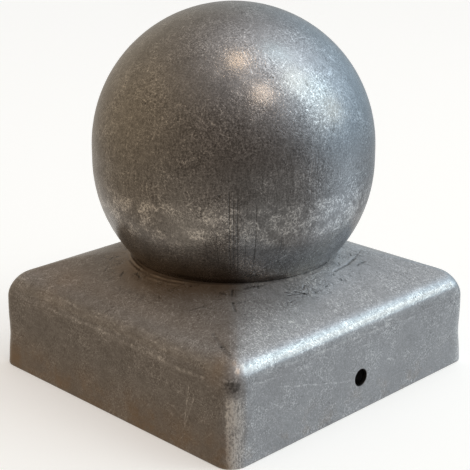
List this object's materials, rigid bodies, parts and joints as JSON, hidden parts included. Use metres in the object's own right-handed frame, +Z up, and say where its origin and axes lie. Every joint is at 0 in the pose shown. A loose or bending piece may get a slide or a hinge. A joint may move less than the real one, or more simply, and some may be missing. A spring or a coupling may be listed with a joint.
{
  "type": "ball post cap",
  "caption": "Square sheet steel cap with rounded shoulders, a low sloping roof and a hollow ball standing on it, made to slide over the top of a square post.",
  "frame": {"origin": "middle of the skirts' lower rim", "axes": "+Z up through the ball, +X and -X out through the two skirts that have a screw hole"},
  "size_m": [0.073, 0.0746, 0.0798],
  "materials": {
    "cap_zinc": "dull tumbled galvanised sheet with fine scuffs",
    "ball_zinc": "dull tumbled galvanised sheet, mottled, with fine scratches and draw lines"
  },
  "bodies": {
    "root": {"cap": "cap_zinc", "ball": "ball_zinc"}
  },
  "joints": []
}
